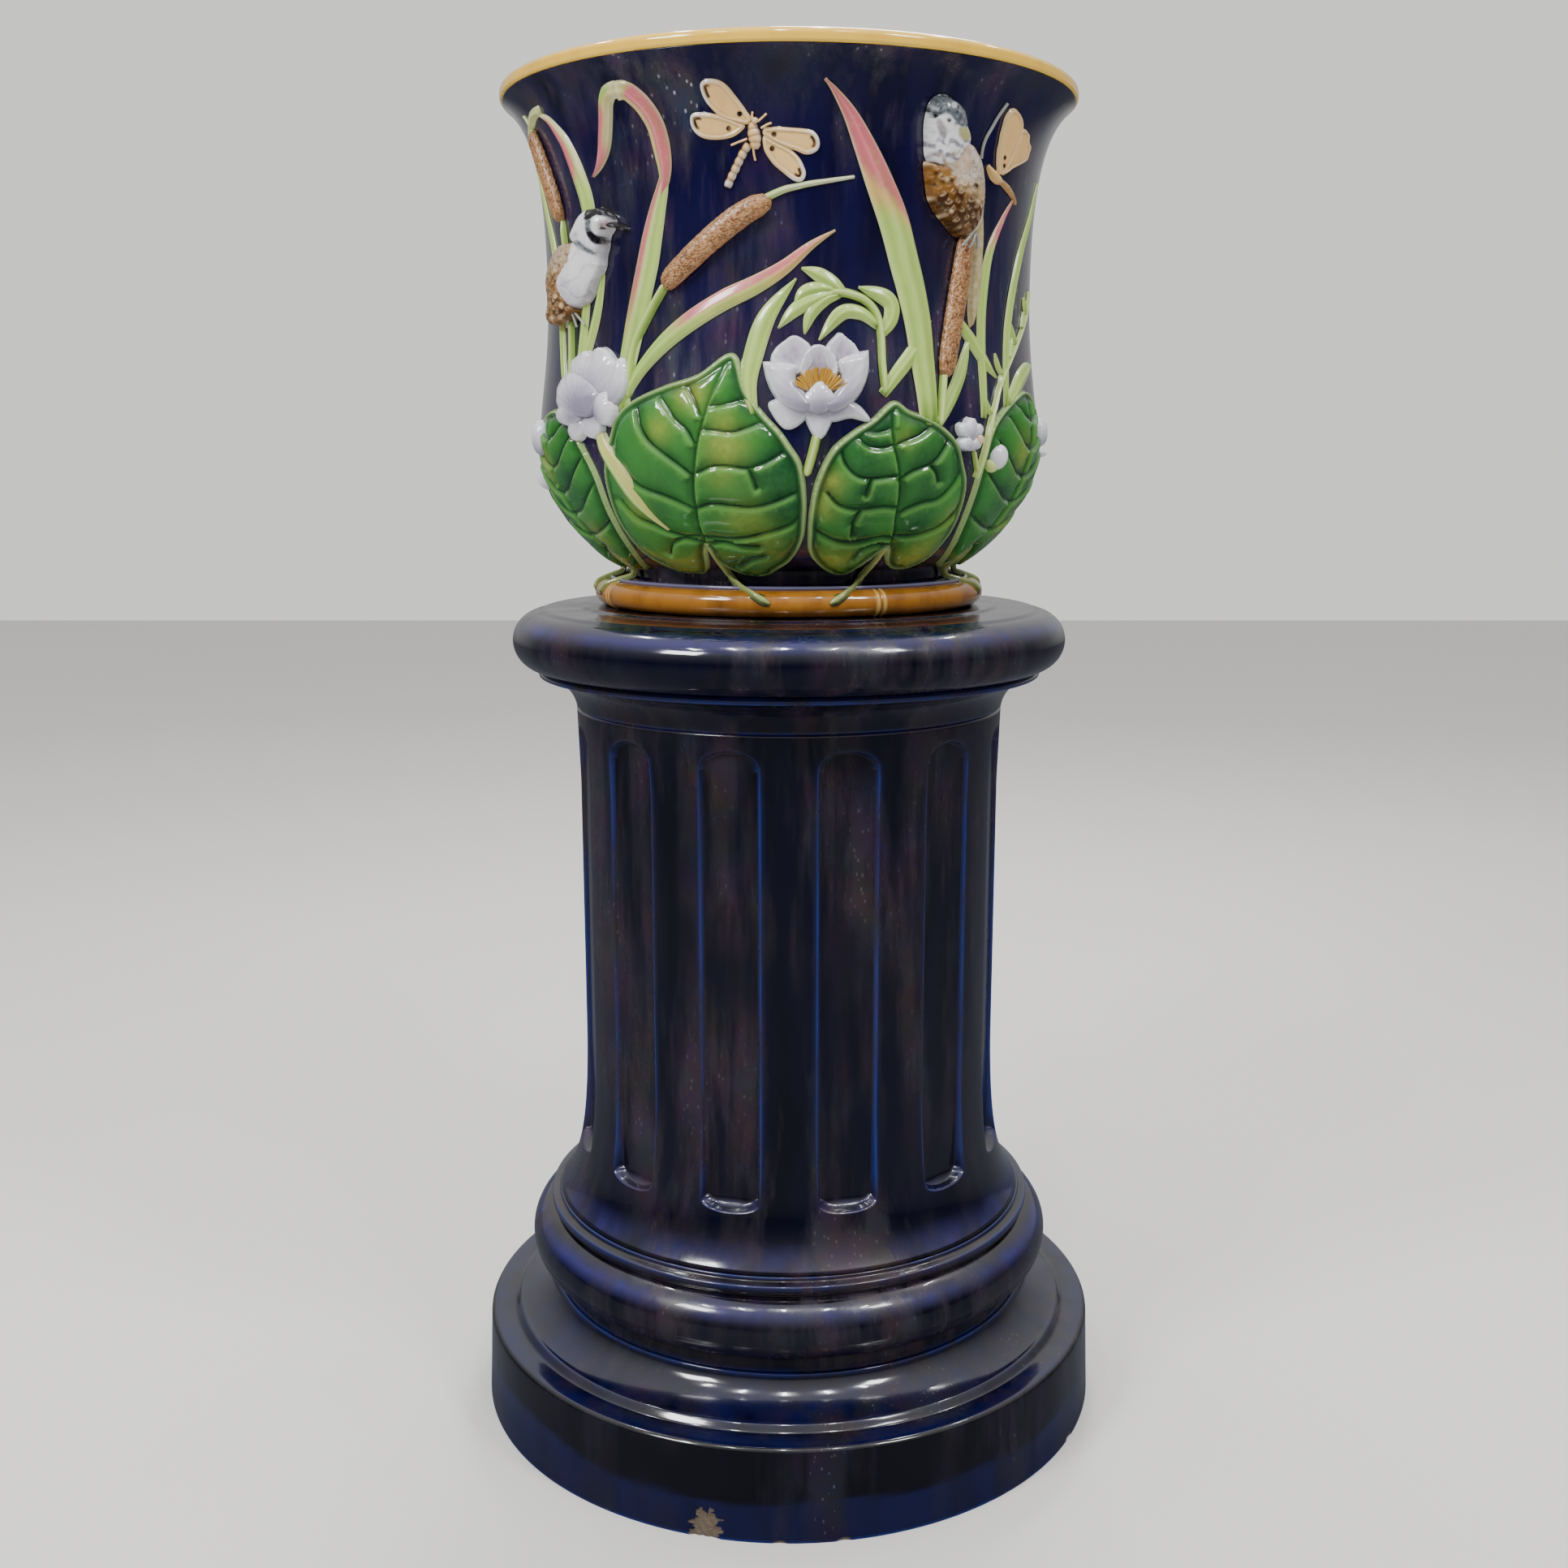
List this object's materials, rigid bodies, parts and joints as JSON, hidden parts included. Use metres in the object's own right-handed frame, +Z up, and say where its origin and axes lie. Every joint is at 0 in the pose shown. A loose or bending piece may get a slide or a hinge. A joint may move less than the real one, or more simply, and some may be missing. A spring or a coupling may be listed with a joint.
{
  "type": "jardiniere on stand",
  "caption": "Round glazed earthenware plant pot with relief pond plants, lifting off a fluted hollow column stand.",
  "frame": {"origin": "centre of the stand's underside, on the floor", "axes": "+Z up along the turning axis, -Y towards the front of the pot, +X to its right"},
  "size_m": [0.527, 0.527, 1.07],
  "materials": {
    "navy_glaze": "glossy cobalt majolica glaze",
    "leaf_green_glaze": "glossy mottled green glaze",
    "reed_green_glaze": "glossy pale green glaze, pink at the tips",
    "cattail_brown_glaze": "stippled brown glaze",
    "petal_white_glaze": "glossy white glaze with lilac shading",
    "plumage_glaze": "mottled brown and white glaze",
    "wing_buff_glaze": "glossy buff glaze",
    "cane_amber_glaze": "glossy amber brown glaze",
    "lip_yellow_glaze": "glossy ochre yellow glaze"
  },
  "bodies": {
    "stand": {"stand_plinth": "navy_glaze", "stand_base_roll": "navy_glaze", "stand_shaft": "navy_glaze", "stand_capital": "navy_glaze", "stand_top": "navy_glaze"},
    "jardiniere": {"cane_foot": "cane_amber_glaze", "pot_body": "navy_glaze", "pot_lip": "lip_yellow_glaze", "front_lily_pad_broad": "leaf_green_glaze", "front_lily_pad_small": "leaf_green_glaze", "front_lily_pad_left": "leaf_green_glaze", "front_lily_pad_right": "leaf_green_glaze", "front_lily_pad_edge": "leaf_green_glaze", "front_reeds_middle": "reed_green_glaze", "front_reeds_right": "reed_green_glaze", "front_reeds_far_right": "reed_green_glaze", "front_reeds_left": "reed_green_glaze", "front_short_blade": "reed_green_glaze", "front_curled_blade": "reed_green_glaze", "front_arrow_frond": "reed_green_glaze", "front_cattail_middle": "cattail_brown_glaze", "front_cattail_right": "cattail_brown_glaze", "front_cattail_left": "cattail_brown_glaze", "front_water_lily_open": "petal_white_glaze", "front_water_lily_half": "petal_white_glaze", "front_flower_vine": "reed_green_glaze", "front_bird_left": "plumage_glaze", "front_bird_right": "plumage_glaze", "front_dragonfly": "wing_buff_glaze", "front_butterfly": "wing_buff_glaze", "back_lily_pad_broad": "leaf_green_glaze", "back_lily_pad_small": "leaf_green_glaze", "back_lily_pad_left": "leaf_green_glaze", "back_lily_pad_right": "leaf_green_glaze", "back_lily_pad_edge": "leaf_green_glaze", "back_reeds_middle": "reed_green_glaze", "back_reeds_right": "reed_green_glaze", "back_reeds_far_right": "reed_green_glaze", "back_reeds_left": "reed_green_glaze", "back_short_blade": "reed_green_glaze", "back_curled_blade": "reed_green_glaze", "back_arrow_frond": "reed_green_glaze", "back_cattail_middle": "cattail_brown_glaze", "back_cattail_right": "cattail_brown_glaze", "back_cattail_left": "cattail_brown_glaze", "back_water_lily_open": "petal_white_glaze", "back_water_lily_half": "petal_white_glaze", "back_flower_vine": "reed_green_glaze", "back_bird_left": "plumage_glaze", "back_bird_right": "plumage_glaze", "back_dragonfly": "wing_buff_glaze", "back_butterfly": "wing_buff_glaze"}
  },
  "joints": [
    {"name": "jardiniere_lift", "type": "slide", "parent": "stand", "child": "jardiniere", "axis": [0, 0, 1], "range_m": [0, 0.3]}
  ]
}
